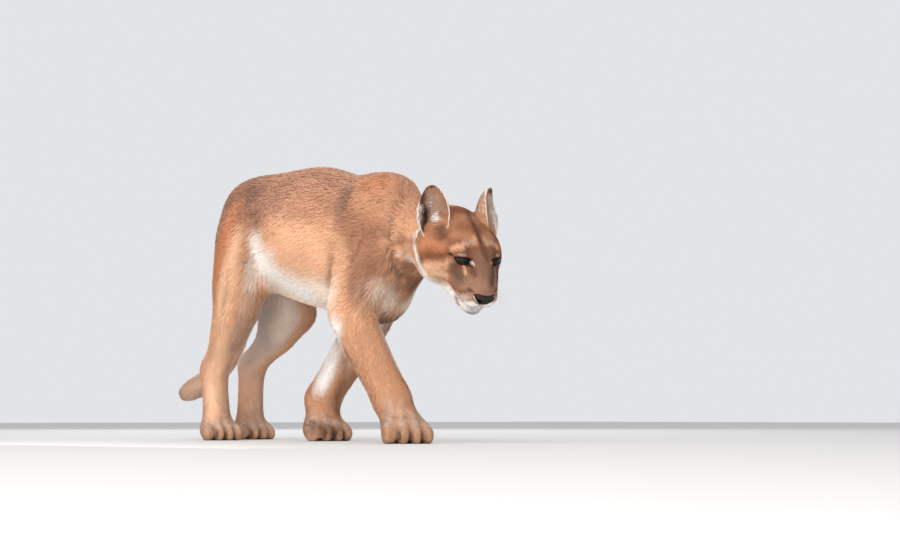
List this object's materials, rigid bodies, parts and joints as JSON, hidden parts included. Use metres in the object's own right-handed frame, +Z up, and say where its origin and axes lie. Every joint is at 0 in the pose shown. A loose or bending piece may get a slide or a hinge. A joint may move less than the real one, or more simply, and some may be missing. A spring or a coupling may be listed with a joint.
{
  "type": "cougar",
  "caption": "Life-size still model of a cougar walking with its head held low, parted into head, ears, eyes, nose, neck, torso, legs, paws and tail.",
  "frame": {"origin": "on the floor under the middle of the animal's bounding box", "axes": "+Z up, +X the way the animal walks, +Y towards its left side"},
  "size_m": [1.1716, 0.2516, 0.5923],
  "materials": {
    "fur": "short dense tawny fur, paler on the belly",
    "ear": "short fur over a thin leaf, pale hairs inside",
    "paw": "very short dense fur",
    "nose": "bare moist nose leather",
    "eye": "wet glossy eyeball with a brown iris"
  },
  "bodies": {
    "root": {"head": "fur", "nose": "nose", "eye_right": "eye", "eye_left": "eye", "ear_right": "ear", "ear_left": "ear", "neck": "fur", "torso": "fur", "foreleg_right": "fur", "foreleg_left": "fur", "forepaw_right": "paw", "forepaw_left": "paw", "thigh_right": "fur", "thigh_left": "fur", "shank_right": "fur", "shank_left": "fur", "hindfoot_right": "paw", "hindfoot_left": "paw", "tail_root": "fur", "tail_middle": "fur", "tail_tip": "fur"}
  },
  "joints": []
}
